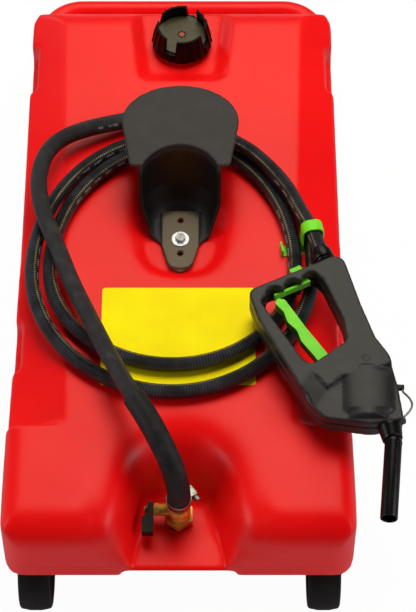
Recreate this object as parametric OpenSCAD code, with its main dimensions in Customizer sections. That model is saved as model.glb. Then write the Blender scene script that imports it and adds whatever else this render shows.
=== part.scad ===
// Wheeled fuel caddy with ball valve, coiled hose and trigger handle
// It lies on its back: front panel up, wheel end towards -Y, handle end towards +Y
// Every piece is drawn in the tank's own frame: x across, y from the wheel end to the
// handle end, z square to the front panel, which is z = 0. on_tank() lays that frame down.

/* [Tank] */
// Width of the tank at the wheel end
tank_w = 491; // [470:1:520]
// Width of the tank at its waist
waist_w = 474; // [455:1:490]
// Width of the tank at the handle end
tank_top_w = 469; // [450:1:490]
// Place of the tank's handle end, measured from the frame's origin
tank_l = 945; // [930:1:980]
// How far the wheel end reaches past the frame's origin
end_out = 5; // [0:1:8]
// Depth from the front panel to the back
tank_d = 168; // [160:1:185]
// Depth of the two lobes above the wheels
lobe_d = 126; // [118:1:134]
// Wall of the moulded tank
wall = 4.5; // [3:0.5:6]
// Radius of the roll between the front panel and the wheel end
roll_r = 46; // [25:1:52]
// Rounding of the tank's long edges
edge_r = 26; // [15:1:32]
// Rounding of the tank's handle end, seen from the side
end_r = 48; // [30:1:54]
// Half width of the front panel beside the lobes
panel_low = 160; // [145:1:175]
// Half width of the front panel at the handle end
panel_high = 186; // [170:1:200]
// Drop of the side bevels at the tank's edge
bevel_drop = 44; // [20:1:55]
// Where the side bevels start above the lobes
bevel_y = 176; // [170:1:200]
// Radius of the moulded carrying handle
grip_r = 16; // [13:0.5:18]
// Hand space between the tank and the carrying handle
grip_gap = 40; // [36:1:60]
// Half length of the straight part of the carrying handle
grip_half = 150; // [120:1:165]
// Height of the skid feet on the back
foot_h = 20; // [12:1:30]
// Place of the skid feet along the tank
foot_y = 850; // [800:1:870]

/* [Recesses] */
// Depth of the valve recess below the front panel
shelf_d = 98; // [90:1:102]
// Length of the valve recess along the tank
recess_l = 172; // [164:1:178]
// Width of the valve recess's floor at the frame's origin
recess_w = 134; // [126:1:144]
// Width of the valve recess at its arch
arch_w = 130; // [118:1:136]
// Depth of the pocket round the filler
filler_d = 14; // [10:0.5:18]
// Width of the floor of the pocket round the filler
filler_w = 102; // [98:1:116]
// Depth of the pocket under the hose hook
hook_d = 12; // [8:0.5:16]

/* [Filler] */
// Place of the filler along the tank
neck_y = 867; // [855:1:872]
// Outer radius of the filler neck
neck_r = 31; // [29:0.5:33]
// Bore radius of the filler neck
neck_bore = 26; // [22:0.5:27]
// Height of the neck above the front panel
neck_h = 4; // [2:0.5:8]
// Radius of the cap at its skirt
cap_r = 46; // [43:0.5:48]
// Radius of the cap at its crown
crown_r = 38; // [36:0.5:41]
// Height of the cap
cap_h = 39; // [36:0.5:44]
// Number of grip ribs round the cap
cap_ribs = 22; // [16:2:32]
// Width of the four slots in the crown
slot_w = 17; // [10:0.5:19]

/* [Hose hook] */
// Place of the fixing bolt along the tank
bolt_y = 488; // [482:1:494]
// Height of the face plate above the front panel
plate_h = 95; // [85:1:110]
// Thickness of the face plate
plate_t = 6; // [4:0.5:8]
// Width of the face plate
plate_w = 172; // [160:1:185]
// Radius of the saddle at the tank
saddle_low = 42; // [40:0.5:46]
// Radius of the saddle at the face plate
saddle_high = 63; // [58:0.5:66]
// Wall of the saddle and of its tongue
hook_wall = 5; // [4:0.5:7]

/* [Wheels] */
// Radius of the wheels
wheel_r = 70; // [64:0.5:74]
// Width of the wheels
wheel_w = 46; // [38:0.5:52]
// Distance of each wheel's middle from the tank's middle
wheel_x = 207; // [195:1:214]
// Radius of the axle
axle_r = 6; // [5:0.25:8]
// Drop of the axle below the lobes
axle_drop = 82; // [80:1:95]
// How far the wheels stand out past the wheel end
wheel_out = 5; // [0:1:15]

/* [Valve] */
// Place of the valve along the tank
valve_y = 76; // [72:1:82]
// Width across the flats of the valve's base
hex_flats = 38; // [36:0.5:42]
// Radius of the valve's ball
ball_r = 10.5; // [9.5:0.25:11]
// Bore radius of the valve
port_r = 6; // [5:0.25:6.5]
// Length of the lever from the stem
lever_l = 38; // [32:1:44]

/* [Hoses] */
// Radius of the supply hose
supply_r = 12.5; // [11.5:0.25:12.75]
// Radius of the sleeve over the supply hose
sleeve_r = 16.5; // [15.5:0.25:17]
// Radius of the coiled hose
coil_r = 10.5; // [9.5:0.25:10.75]
// Height of the coil's middle above the front panel
coil_z = 13.5; // [13:0.25:15]

/* [Pump handle] */
// Height of the pump handle's parting plane above the front panel
pump_z = 46; // [45.5:0.5:52]
// Thickness of each half of the pump handle
shell_t = 20; // [18:0.5:21]
// Outer radius of the spout
spout_r = 12; // [10:0.25:12.5]
// Bore radius of the spout
spout_bore = 10; // [8:0.25:10.25]
// Length of the trigger from its pin
trigger_l = 124; // [105:1:126]
// Thickness of the trigger
trigger_t = 16; // [12:0.5:18]
// Radius of the trigger's pin
pin_r = 3; // [2.5:0.25:4]

/* [Hidden] */
$fn = 48;
// Running clearance of shafts in their bores
run = 0.05;
// Gap between pieces of different bodies that lie against each other
gap = 0.3;
// Extra length that carries a cut past the face it leaves
over = 10;
// Points along each rounded corner
arc_steps = 6;

// The axle sets how the tank lies: tilted so that the wheels and the skid feet touch the floor
axle_y = wheel_r - wheel_out;
axle_z = -lobe_d - axle_drop;
foot_z = -tank_d - foot_h;
lie_y = foot_y - axle_y;
lie_z = foot_z - axle_z;
tilt = asin(wheel_r / norm([lie_y, lie_z])) + atan2(lie_z, lie_y);
grip_y = tank_l + grip_gap + grip_r;
grip_z = -tank_d * 0.53;
grip_bend = 46;

// The pump handle's bail is the piece that reaches furthest to the right
bail_axis_x = 311;
bail_reach = 12;
wire_r = 1.5;
frame_x = (tank_w / 2 - bail_axis_x - bail_reach - wire_r) / 2;
far_y = (grip_y - axle_y) * cos(tilt) + (grip_z - axle_z) * sin(tilt) + grip_r;
frame_y = (wheel_r - far_y) / 2;

module on_tank()
    translate([frame_x, frame_y, wheel_r])
        rotate([-tilt, 0, 0])
            translate([0, -axle_y, -axle_z])
                children();

// Extrude a profile drawn in (y, z) along x, centred
module across(width)
    rotate([90, 0, 90])
        translate([0, 0, -width / 2])
            linear_extrude(width)
                children();

// Extrude a profile drawn in (x, z) along +y
module lengthways(length)
    rotate([90, 0, 0])
        translate([0, 0, -length])
            linear_extrude(length)
                children();

// Stand a cylinder's axis along x
module axis_x()
    rotate([0, 90, 0])
        children();

function unit(v) = v / norm(v);

// Round one corner of an outline, between its neighbours before and after
function fillet(before, corner, after, r) =
    let (
        u = unit(before - corner),
        w = unit(after - corner),
        half = acos(u * w) / 2,
        middle = corner + unit(u + w) * r / sin(half),
        from = corner + u * r / tan(half) - middle,
        to = corner + w * r / tan(half) - middle,
        sweep = 180 - 2 * half
    )
    [for (i = [0:arc_steps])
        middle + (from * sin(sweep * (1 - i / arc_steps)) + to * sin(sweep * i / arc_steps)) / sin(sweep)];

// Outline with a radius for each corner, where 0 keeps the corner sharp
function rounded(corners, radii) =
    let (n = len(corners))
    [for (i = [0:n - 1])
        each radii[i] == 0
            ? [corners[i]]
            : fillet(corners[(i + n - 1) % n], corners[i], corners[(i + 1) % n], radii[i])];

function box_corners(x0, y0, x1, y1) = [[x0, y0], [x1, y0], [x1, y1], [x0, y1]];

// Tank: one blow-moulded shell, the meeting of its plan, side view and cross-section
back_step = 18;
back_r = 22;
waist_y = 480;
lobe_y = 70;
ledge_z = -64;
grip_pocket = 11;
grip_pockets = [[283, 366], [785, 872]];
relief_w = 160;
ear_t = 28;
washer_t = 3;
ear_x = wheel_x - wheel_w / 2 - washer_t - 2 * gap - ear_t / 2;
outlet_r = 12.5;
shelf_back = 100;
shelf_lip = 7;
hook_top = 640;
hook_low = 424;
hook_half = 69;
hook_lean = 14;
hook_toe = 7;
recess_turn = atan(0.2);
recess_lean = 0.28;
filler_turn = atan(0.1);
filler_lean = 1.4;

function half_at(y) = y < lobe_y
    ? tank_w / 2
    : y < waist_y
        ? tank_w / 2 + (waist_w - tank_w) / 2 * (y - lobe_y) / (waist_y - lobe_y)
        : waist_w / 2 + (tank_top_w - waist_w) / 2 * (y - waist_y) / (tank_l - waist_y);

// A block whose sides slope from one outline to another with as many corners
module drafted(low, low_z, high, high_z) {
    n = len(low);
    polyhedron(
        points = concat([for (p = low) [p[0], p[1], low_z]], [for (p = high) [p[0], p[1], high_z]]),
        faces = concat(
            [for (k = [0:n - 1]) let (m = (k + 1) % n) each [[k, n + k, m], [m, n + k, n + m]]],
            [for (k = [1:n - 2]) [0, k, k + 1]],
            [for (k = [1:n - 2]) [n, n + k + 1, n + k]]));
}

module tank_mass(inset) {
    low = tank_w / 2 - inset;
    high = tank_top_w / 2 - inset;
    waist = waist_w / 2 - inset;
    near = inset - end_out;
    plan = [
        [-low, near], [low, near], [low, lobe_y], [waist, waist_y], [high, tank_l - inset],
        [-high, tank_l - inset], [-waist, waist_y], [-low, lobe_y]
    ];
    back = -tank_d + inset;
    under = -lobe_d + inset;
    step_y = axle_y + wheel_r + 12 + inset;
    side = [
        [near, -inset], [near, under], [step_y, under], [step_y + back_step, back],
        [tank_l - inset, back], [tank_l - inset, -inset]
    ];
    intersection() {
        translate([0, 0, -tank_d - over])
            linear_extrude(tank_d + 2 * over)
                polygon(rounded(plan, [34, 34, 0, 0, 30, 30, 0, 0]));
        across(tank_w)
            polygon(rounded(side, [roll_r, 14, 16, 16, back_r, end_r]));
        translate([0, -end_out - over, 0])
            lengthways(tank_l + end_out + 2 * over)
                polygon(rounded(box_corners(-low, back, low, -inset), [edge_r, edge_r, edge_r, edge_r]));
    }
}

// Bevels beside the front panel, from the lobes to the handle end
module side_bevels(grow) {
    run_l = tank_l - bevel_y;
    turn = atan((panel_high - panel_low) / run_l);
    reach = tank_w / 2 + over - panel_low;
    drop = bevel_drop * reach / (tank_w / 2 - panel_low);
    for (side = [0, 1])
        mirror([side, 0, 0])
            translate([panel_low, bevel_y - grow, -grow])
                rotate([0, 0, -turn])
                    lengthways(run_l + 3 * over)
                        polygon([[0, 0], [reach + over, -drop - over * drop / reach], [reach + over, over], [0, over]]);
}

// The valve recess: a flat shelf, a sloping back and side walls that lean out and draw together
module valve_recess(grow) {
    floor_z = -shelf_d - grow;
    end = recess_l + grow;
    near = -end_out - over;
    rise = over - floor_z;
    half = recess_w / 2 + grow;
    arch = arch_w / 2 + grow;
    flare = recess_lean * rise;
    low_half = half - near * tan(recess_turn);
    low_arch = half - end * tan(recess_turn);
    low = [[-low_half, near], [low_half, near], [low_arch, end], [-low_arch, end]];
    high = [[-low_half - flare, near], [low_half + flare, near], [low_arch + flare, end], [-low_arch - flare, end]];
    side = [[near, floor_z], [shelf_back + grow, floor_z], [end, 0], [end, over], [near, over]];
    plan = [[-2 * half, near], [2 * half, near], [2 * half, end - arch], [arch, end], [-arch, end], [-2 * half, end - arch]];
    intersection() {
        drafted(low, floor_z, high, over);
        translate([0, 0, -tank_d])
            linear_extrude(tank_d + 2 * over)
                polygon(rounded(plan, [0, 0, 0, arch * 0.6, arch * 0.6, 0]));
        across(tank_w)
            polygon(rounded(side, [0, 8, 0, 0, 0]));
    }
}

// The pocket round the filler runs out at the handle end, and its walls lean out
module filler_pocket(grow) {
    floor_z = -filler_d - grow;
    low_y = neck_y - cap_r - 15 - grow;
    far_y = tank_l + over;
    rise = over - floor_z;
    half = filler_w / 2 + grow;
    far_half = half + (far_y - low_y) * tan(filler_turn);
    flare = filler_lean * rise;
    low_half = half - flare * tan(filler_turn);
    drafted(
        rounded([[-half, low_y], [half, low_y], [far_half, far_y], [-far_half, far_y]], [10, 10, 0, 0]), floor_z,
        rounded(
            [[-low_half - flare, low_y - flare], [low_half + flare, low_y - flare], [far_half + flare, far_y], [-far_half - flare, far_y]],
            [26, 26, 0, 0]), over);
}

// The pocket under the hose hook is oval at its low end, with sloping walls
module hook_pocket(grow) {
    floor_z = -hook_d - grow;
    flare = hook_lean * (over - floor_z) / hook_d;
    low_flare = hook_toe * (over - floor_z) / hook_d;
    half = hook_half - hook_lean + grow;
    low = hook_low + hook_toe - grow;
    low_r = 44;
    drafted(
        rounded(box_corners(-half, low, half, hook_top), [low_r, low_r, 16, 16]), floor_z,
        rounded(
            box_corners(-half - flare, low - low_flare, half + flare, hook_top + flare),
            [low_r + flare, low_r + flare, 16 + flare, 16 + flare]), over);
}

// Ledges in the tank's sides, open to the top
module side_pockets(grow) {
    deep = 100;
    for (side = [-1, 1], span = grip_pockets)
        translate([side * (half_at((span[0] + span[1]) / 2) - grip_pocket - grow + deep / 2), 0, 0])
            across(deep)
                polygon(rounded(box_corners(span[0] - grow, ledge_z - grow, span[1] + grow, over), [8, 8, 0, 0]));
}

module carrying_handle() {
    leg_x = grip_half + grip_bend;
    leg_y = grip_y - grip_bend;
    translate([0, grip_y, grip_z])
        axis_x()
            cylinder(h = 2 * grip_half, r = grip_r, center = true);
    for (side = [0, 1])
        mirror([side, 0, 0])
            translate([grip_half, leg_y, grip_z]) {
                rotate_extrude(angle = 90)
                    translate([grip_bend, 0])
                        circle(grip_r);
                translate([grip_bend, 0, 0])
                    rotate([90, 0, 0])
                        cylinder(h = leg_y - tank_l + edge_r, r = grip_r);
            }
}

module axle_ears() {
    root_z = -lobe_d + wall / 2;
    ear = [[axle_y - 48, root_z], [axle_y + 74, root_z], [axle_y + 15, axle_z - 14], [axle_y - 15, axle_z - 14]];
    for (side = [-1, 1])
        translate([side * ear_x, 0, 0])
            across(ear_t)
                polygon(rounded(ear, [0, 0, 12, 12]));
}

// The skid feet are flat where they stand on the floor
module skid_feet() {
    foot_w = 60;
    foot_l = 44;
    for (side = [-1, 1])
        translate([side * 140, foot_y, foot_z])
            rotate([tilt, 0, 0])
                linear_extrude(foot_h + wall)
                    polygon(rounded(box_corners(-foot_w / 2, -foot_l / 2, foot_w / 2, foot_l / 2), [9, 9, 9, 9]));
}

// The lip under the shelf is pinched thin at the wheel end
module shelf_relief() {
    lip_z = -shelf_d - shelf_lip;
    near = -end_out - over;
    lip_y = 2 - end_out;
    across(relief_w)
        polygon([
            [near, lip_z], [lip_y, lip_z], [lip_y + (lobe_d + lip_z) * 1.5, -lobe_d],
            [lip_y, -lobe_d - over], [near, -lobe_d - over]
        ]);
}

module tank_hollow() {
    difference() {
        tank_mass(wall);
        side_bevels(wall);
        valve_recess(wall);
        filler_pocket(wall);
        hook_pocket(wall);
        side_pockets(wall);
        translate([0, -over, 0])
            across(relief_w + 4 * wall)
                polygon(box_corners(0, -tank_d, over + shelf_back / 2, 0));
    }
}

module tank() {
    on_tank()
        color([0.86, 0.09, 0.11])
            difference() {
                union() {
                    difference() {
                        tank_mass(0);
                        side_bevels(0);
                        valve_recess(0);
                        filler_pocket(0);
                        hook_pocket(0);
                        side_pockets(0);
                        shelf_relief();
                    }
                    carrying_handle();
                    axle_ears();
                    skid_feet();
                    translate([0, neck_y, -filler_d - wall])
                        cylinder(h = neck_h + filler_d + wall, r = neck_r);
                    translate([0, bolt_y, -hook_d - 16])
                        cylinder(h = 16, r = 11);
                }
                tank_hollow();
                translate([0, neck_y, -filler_d - 3 * wall])
                    cylinder(h = neck_h + filler_d + 3 * wall + over, r = neck_bore);
                translate([0, valve_y, -shelf_d - 2 * wall])
                    cylinder(h = 2 * wall + over, r = outlet_r + run);
                translate([0, bolt_y, -hook_d - 14])
                    cylinder(h = 14 + over, r = bolt_r + run);
                translate([0, axle_y, axle_z])
                    axis_x()
                        cylinder(h = tank_w, r = axle_r + run, center = true);
            }
}

// Filler cap: a flared, ribbed cup with four slots, a flat disc in its floor and a gasket
skirt_z = neck_h - 7;
gasket_t = 2.5;
disc_t = 2.5;
cap_floor = 4;
floor_z = neck_h + gasket_t;
cup_wall = 5;

function cap_radius(z) = cap_r + (crown_r - cap_r) * (z - skirt_z) / cap_h;

module filler_cap() {
    top_z = skirt_z + cap_h;
    deck_z = floor_z + cap_floor;
    rib_r = 2.2;
    on_tank()
        translate([0, neck_y, 0])
            color([0.09, 0.09, 0.09])
                difference() {
                    union() {
                        rotate_extrude()
                            polygon([
                                [neck_r + 1, skirt_z], [cap_r, skirt_z], [crown_r, top_z], [crown_r - 3, top_z],
                                [cap_radius(deck_z) - cup_wall, deck_z], [0, deck_z], [0, floor_z], [neck_r + 1, floor_z]
                            ]);
                        for (i = [0:cap_ribs - 1])
                            rotate([0, 0, i * 360 / cap_ribs])
                                translate([cap_r - 0.6, 0, skirt_z])
                                    rotate([0, -atan((cap_r - crown_r) / cap_h), 0])
                                        cylinder(h = cap_h - 0.5, r = rib_r);
                    }
                    for (i = [0:1])
                        rotate([0, 0, 65 + 90 * i])
                            translate([-cap_r - over, -slot_w / 2, deck_z])
                                cube([2 * (cap_r + over), slot_w, cap_h]);
                }
}

module cap_disc() {
    deck_z = floor_z + cap_floor;
    disc_r = cap_radius(deck_z + disc_t) - cup_wall - gap;
    hole_r = 1.1;
    on_tank()
        translate([0, neck_y, deck_z])
            color([0.32, 0.3, 0.22])
                difference() {
                    union() {
                        cylinder(h = disc_t, r = disc_r);
                        for (i = [0:1])
                            rotate([0, 0, 65 + 90 * i])
                                translate([-crown_r, -slot_w / 2 + gap, 0])
                                    cube([2 * crown_r, slot_w - 2 * gap, disc_t]);
                    }
                    for (i = [0:7])
                        rotate([0, 0, i * 45])
                            translate([6, 0, -1])
                                cylinder(h = disc_t + 2, r = hole_r);
                }
}

module cap_gasket() {
    on_tank()
        translate([0, neck_y, neck_h])
            color([0.2, 0.2, 0.2])
                difference() {
                    cylinder(h = gasket_t, r = neck_r);
                    translate([0, 0, -1])
                        cylinder(h = gasket_t + 2, r = neck_bore);
                }
}

// Hose hook: a flared saddle, U-shaped and open below, with a tongue on the tank and a face plate
bolt_r = 4;
tongue_low = 434;
tongue_half = 34;
tongue_t = 11;
tongue_rim = 7;
tongue_z = -hook_d;
saddle_y = 507;
saddle_lean = 11;
saddle_foot = 56;
saddle_curve = [[0, 0], [0.3, 0.5], [0.5, 0.81], [1, 1]];
arch_y = saddle_y + (plate_h + hook_d) * tan(saddle_lean);
plate_mid = 630;
plate_rise = 66;
plate_leg = arch_y + 21;
plate_foot = 73;

// Outside of the saddle, or its inside when the wall is taken off
module saddle_form(off) {
    rise = plate_h + hook_d;
    step = saddle_high - saddle_low;
    side = concat(
        [[saddle_low - off - over / 3, -over]],
        [for (p = saddle_curve) [saddle_low + step * p[1] - off, rise * p[0]]],
        [[saddle_high - off + 1, rise + 2 * over]]);
    last = len(side) - 1;
    translate([0, saddle_y, tongue_z])
        rotate([-saddle_lean, 0, 0]) {
            rotate_extrude()
                polygon(concat([[0, -over]], side, [[0, rise + 2 * over]]));
            rotate([90, 0, 0])
                linear_extrude(60)
                    polygon(concat(side, [for (i = [last:-1:0]) [-side[i][0], side[i][1]]]));
        }
}

// Everything in front of the saddle's sloping front edge, and below the tank's pocket
module saddle_front() {
    front = tongue_low + saddle_foot;
    across(4 * saddle_high)
        polygon([
            [tongue_low - 5 * over, tongue_z - 5 * over], [front, tongue_z - 5 * over], [front, tongue_z],
            [plate_leg, plate_h], [plate_leg + 2 * over, plate_h + 4 * over], [tongue_low - 5 * over, plate_h + 4 * over]
        ]);
    translate([0, saddle_y, tongue_z - 2 * over])
        cube([6 * saddle_high, 6 * saddle_high, 4 * over], center = true);
    translate([0, saddle_y, plate_h + plate_t / 2 + 4 * over])
        cube([6 * saddle_high, 6 * saddle_high, 8 * over], center = true);
}

module hose_hook() {
    half = plate_w / 2;
    on_tank()
        color([0.16, 0.16, 0.17]) {
            difference() {
                saddle_form(0);
                saddle_form(hook_wall);
                saddle_front();
            }
            difference() {
                translate([0, 0, tongue_z]) {
                    linear_extrude(tongue_rim)
                        polygon(rounded(
                            [
                                [-20, tongue_low], [20, tongue_low], [tongue_half, tongue_low + 40],
                                [saddle_low - 1, saddle_y - 7], [saddle_low - 1, saddle_y + 3], [30, saddle_y + 34],
                                [-30, saddle_y + 34], [-saddle_low + 1, saddle_y + 3], [-saddle_low + 1, saddle_y - 7],
                                [-tongue_half, tongue_low + 40]
                            ],
                            [18, 18, 20, 6, 6, 20, 20, 6, 6, 20]));
                    linear_extrude(tongue_t)
                        polygon(rounded(
                            [
                                [-16, tongue_low + 4], [16, tongue_low + 4], [tongue_half - 5.5, tongue_low + 46],
                                [tongue_half - 5.5, saddle_y + 34], [5.5 - tongue_half, saddle_y + 34], [5.5 - tongue_half, tongue_low + 46]
                            ],
                            [15, 15, 20, 6, 6, 20]));
                }
                for (hole = [[bolt_y, bolt_r + 0.5], [bolt_y + 35, 4.5], [bolt_y - 24, 4.5]])
                    translate([0, hole[0], tongue_z - 1])
                        cylinder(h = tongue_t + 2, r = hole[1]);
            }
            translate([0, 0, plate_h])
                linear_extrude(plate_t)
                    difference() {
                        polygon(concat(
                            [for (a = [0:12:180]) [half * cos(a), plate_mid + plate_rise * sin(a)]],
                            rounded(
                                [[-half + 1, plate_mid - 10], [-plate_foot, plate_leg], [-40, plate_leg],
                                    [40, plate_leg], [plate_foot, plate_leg], [half - 1, plate_mid - 10]],
                                [0, 7, 0, 0, 7, 0])));
                        translate([0, arch_y])
                            circle(saddle_high - hook_wall);
                    }
        }
}

module hook_washer() {
    on_tank()
        translate([0, bolt_y, tongue_z + tongue_t])
            color([0.8, 0.8, 0.8])
                difference() {
                    cylinder(h = 2, r = 13);
                    translate([0, 0, -1])
                        cylinder(h = 4, r = bolt_r + 0.5);
                }
}

module hook_bolt() {
    head_z = tongue_z + tongue_t + 2;
    on_tank()
        translate([0, bolt_y, 0])
            color([0.75, 0.76, 0.78]) {
                translate([0, 0, head_z])
                    cylinder(h = 5.5, r = 7.5, $fn = 6);
                translate([0, 0, tongue_z - 12])
                    cylinder(h = head_z - tongue_z + 12.5, r = bolt_r);
            }
}

// Axle, wheels, washers and push nuts
nut_t = 4;
axle_half = wheel_x + wheel_w / 2 + gap + nut_t;

module at_axle()
    on_tank()
        translate([0, axle_y, axle_z])
            children();

module axle() {
    at_axle()
        color([0.7, 0.71, 0.73])
            axis_x()
                cylinder(h = 2 * axle_half, r = axle_r, center = true);
}

module wheel_body() {
    half = wheel_w / 2;
    rim_r = wheel_r - 17;
    hub_r = 17;
    rim_half = half - 5;
    web_half = 6;
    crown = 3;
    profile = [
        [axle_r + run, -half], [hub_r, -half], [hub_r, -web_half], [rim_r, -web_half], [rim_r, -rim_half],
        [rim_r + 4, -half], [wheel_r - crown, -half], [wheel_r, -half * 0.35], [wheel_r, half * 0.35],
        [wheel_r - crown, half], [rim_r + 4, half], [rim_r, rim_half], [rim_r, web_half],
        [hub_r, web_half], [hub_r, half], [axle_r + run, half]
    ];
    axis_x()
        union() {
            rotate_extrude($fn = 72)
                polygon(rounded(profile, [0, 0, 0, 0, 0, 0, 5, 0, 0, 5, 0, 0, 0, 0, 0, 0]));
            for (i = [0:7])
                rotate([0, 0, i * 45])
                    translate([hub_r - 2, -2, -half + 7])
                        cube([rim_r - hub_r + 4, 4, wheel_w - 14]);
        }
}

module wheel_left() {
    at_axle()
        color([0.1, 0.09, 0.09])
            translate([-wheel_x, 0, 0])
                wheel_body();
}

module wheel_right() {
    at_axle()
        color([0.1, 0.09, 0.09])
            translate([wheel_x, 0, 0])
                wheel_body();
}

module axle_washers() {
    at_axle()
        color([0.65, 0.66, 0.68])
            for (side = [-1, 1])
                translate([side * (wheel_x - wheel_w / 2 - gap - washer_t / 2), 0, 0])
                    axis_x()
                        difference() {
                            cylinder(h = washer_t, r = 14, center = true);
                            cylinder(h = washer_t + 2, r = axle_r + run, center = true);
                        }
}

module push_nuts() {
    at_axle()
        color([0.6, 0.61, 0.63])
            for (side = [-1, 1])
                translate([side * (axle_half - nut_t / 2), 0, 0])
                    axis_x()
                        difference() {
                            cylinder(h = nut_t, r = 11, center = true);
                            cylinder(h = nut_t + 2, r = axle_r + 0.02, center = true);
                        }
}

// Ball valve, built up from the shelf: gasket, body, seats, ball, stem, nut, lever and barb
gasket_h = 2;
base_h = 12;
seat_r = ball_r + 1;
ball_z = gasket_h + base_h + ball_r + 1;
seat_touch = sqrt(ball_r * ball_r - port_r * port_r);
seat_low = ball_z - seat_touch - 3.2;
seat_high = ball_z + seat_touch + 3.2;
body_top = seat_high + 2.5;
barb_base = body_top + 4;
barb_tip = barb_base + 27;
barb_r = supply_r - 3.7;
stem_r = 4.5;
bonnet_x = 29;
nut_x = bonnet_x + 6;
lever_x = nut_x + 1;
lever_t = 8;

module at_valve()
    on_tank()
        translate([0, valve_y, -shelf_d])
            children();

module outlet_gasket() {
    at_valve()
        color([0.12, 0.12, 0.12])
            difference() {
                cylinder(h = gasket_h, r = hex_flats / 2);
                translate([0, 0, -1])
                    cylinder(h = gasket_h + 2, r = outlet_r + run);
            }
}

module valve_body() {
    shell_r = seat_r + 4.5;
    at_valve()
        color([0.75, 0.56, 0.24])
            difference() {
                union() {
                    translate([0, 0, -2 * wall])
                        cylinder(h = 2 * wall + gasket_h + 1, r = outlet_r);
                    translate([0, 0, gasket_h])
                        rotate([0, 0, 30])
                            cylinder(h = base_h, r = hex_flats / 2 / cos(30), $fn = 6);
                    translate([0, 0, gasket_h + base_h - 1])
                        cylinder(h = body_top - gasket_h - base_h + 1, r = shell_r);
                    translate([0, 0, ball_z])
                        rotate([0, -90, 0])
                            cylinder(h = bonnet_x, r = stem_r + 4);
                }
                translate([0, 0, -2 * wall - 1])
                    cylinder(h = barb_tip, r = port_r);
                translate([0, 0, seat_low])
                    cylinder(h = body_top, r = seat_r);
                translate([0, 0, ball_z])
                    rotate([0, -90, 0])
                        cylinder(h = bonnet_x + 1, r = stem_r + run);
            }
}

module valve_seats() {
    at_valve()
        color([0.93, 0.93, 0.9])
            for (side = [-1, 1])
                translate([0, 0, ball_z])
                    difference() {
                        translate([0, 0, side > 0 ? seat_touch : -seat_touch - 3.2])
                            cylinder(h = 3.2, r = seat_r - run);
                        cylinder(h = 4 * ball_r, r = port_r, center = true);
                        sphere(ball_r + run, $fn = 64);
                    }
}

module valve_ball() {
    at_valve()
        translate([0, 0, ball_z])
            color([0.82, 0.83, 0.84])
                difference() {
                    rotate([90, 0, 0])
                        rotate_extrude($fn = 64)
                            intersection() {
                                circle(ball_r, $fn = 64);
                                translate([port_r, -ball_r])
                                    square([ball_r, 2 * ball_r]);
                            }
                    translate([-ball_r, 0, 0])
                        cube([7, 4, 20], center = true);
                }
}

module valve_stem() {
    tip_x = lever_x + lever_t + 5;
    at_valve()
        translate([0, 0, ball_z])
            color([0.72, 0.55, 0.26]) {
                rotate([0, -90, 0])
                    translate([0, 0, ball_r + 0.4])
                        cylinder(h = tip_x - ball_r - 0.4, r = stem_r);
                translate([-ball_r - 1, -1.9, -3.5])
                    cube([4, 3.8, 7]);
            }
}

module packing_nut() {
    at_valve()
        translate([-bonnet_x, 0, ball_z])
            color([0.78, 0.6, 0.28])
                rotate([0, -90, 0])
                    difference() {
                        cylinder(h = nut_x - bonnet_x, r = stem_r + 5, $fn = 6);
                        translate([0, 0, -1])
                            cylinder(h = nut_x, r = stem_r + run);
                    }
}

module valve_lever() {
    paddle_t = 16;
    inner = -lever_x;
    bent = [
        [inner, 9], [inner, -lever_l], [inner - paddle_t, -lever_l], [inner - paddle_t, -15],
        [inner - lever_t, -7], [inner - lever_t, 9]
    ];
    at_valve()
        translate([0, 0, ball_z])
            color([0.13, 0.13, 0.12])
                difference() {
                    translate([0, 0, -7])
                        linear_extrude(14)
                            polygon(rounded(bent, [0, 1.5, 1.5, 3, 3, 0]));
                    axis_x()
                        cylinder(h = 4 * lever_l, r = stem_r + 0.02, center = true);
                }
}

module lever_nut() {
    at_valve()
        translate([-lever_x - lever_t, 0, ball_z])
            color([0.7, 0.7, 0.72])
                rotate([0, -90, 0])
                    difference() {
                        cylinder(h = 3.5, r = 6.2, $fn = 6);
                        translate([0, 0, -1])
                            cylinder(h = 6, r = stem_r + 0.02);
                    }
}

module valve_barb() {
    ridge = 0.6;
    at_valve()
        color([0.78, 0.6, 0.28])
            difference() {
                union() {
                    translate([0, 0, seat_high + run])
                        cylinder(h = body_top - seat_high, r = seat_r - run);
                    translate([0, 0, body_top])
                        cylinder(h = barb_base - body_top, r = seat_r + 3.5, $fn = 6);
                    translate([0, 0, barb_base - 0.5])
                        cylinder(h = barb_tip - barb_base + 0.5, r = barb_r);
                    for (i = [0:2])
                        translate([0, 0, barb_base + 8 + 6 * i])
                            cylinder(h = 5, r1 = barb_r + ridge, r2 = barb_r);
                }
                translate([0, 0, seat_high - 1])
                    cylinder(h = barb_tip, r = port_r);
            }
}

// Worm-drive clamp round the sleeve
clamp_z = barb_base + 4;
clamp_w = 12;
band_t = 1;

module clamp_band() {
    ring_r = sleeve_r + gap + 0.1;
    at_valve()
        translate([0, 0, clamp_z])
            color([0.8, 0.8, 0.79])
                difference() {
                    union() {
                        cylinder(h = clamp_w, r = ring_r + band_t);
                        rotate([0, 0, 35])
                            translate([ring_r, -8, 1])
                                cube([9, 16, clamp_w - 2]);
                    }
                    translate([0, 0, -1])
                        cylinder(h = clamp_w + 2, r = ring_r);
                    rotate([0, 0, 35])
                        translate([ring_r + 4.8, 0, clamp_w / 2])
                            rotate([90, 0, 0])
                                cylinder(h = 40, r = 3.3, center = true);
                }
}

module clamp_screw() {
    at_valve()
        translate([0, 0, clamp_z + clamp_w / 2])
            color([0.72, 0.72, 0.74])
                rotate([0, 0, 35])
                    translate([sleeve_r + gap + 4.9, 0, 0])
                        rotate([90, 0, 0]) {
                            cylinder(h = 22, r = 3.2, center = true);
                            translate([0, 0, 11])
                                cylinder(h = 5, r = 4.6, $fn = 6);
                        }
}

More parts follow.
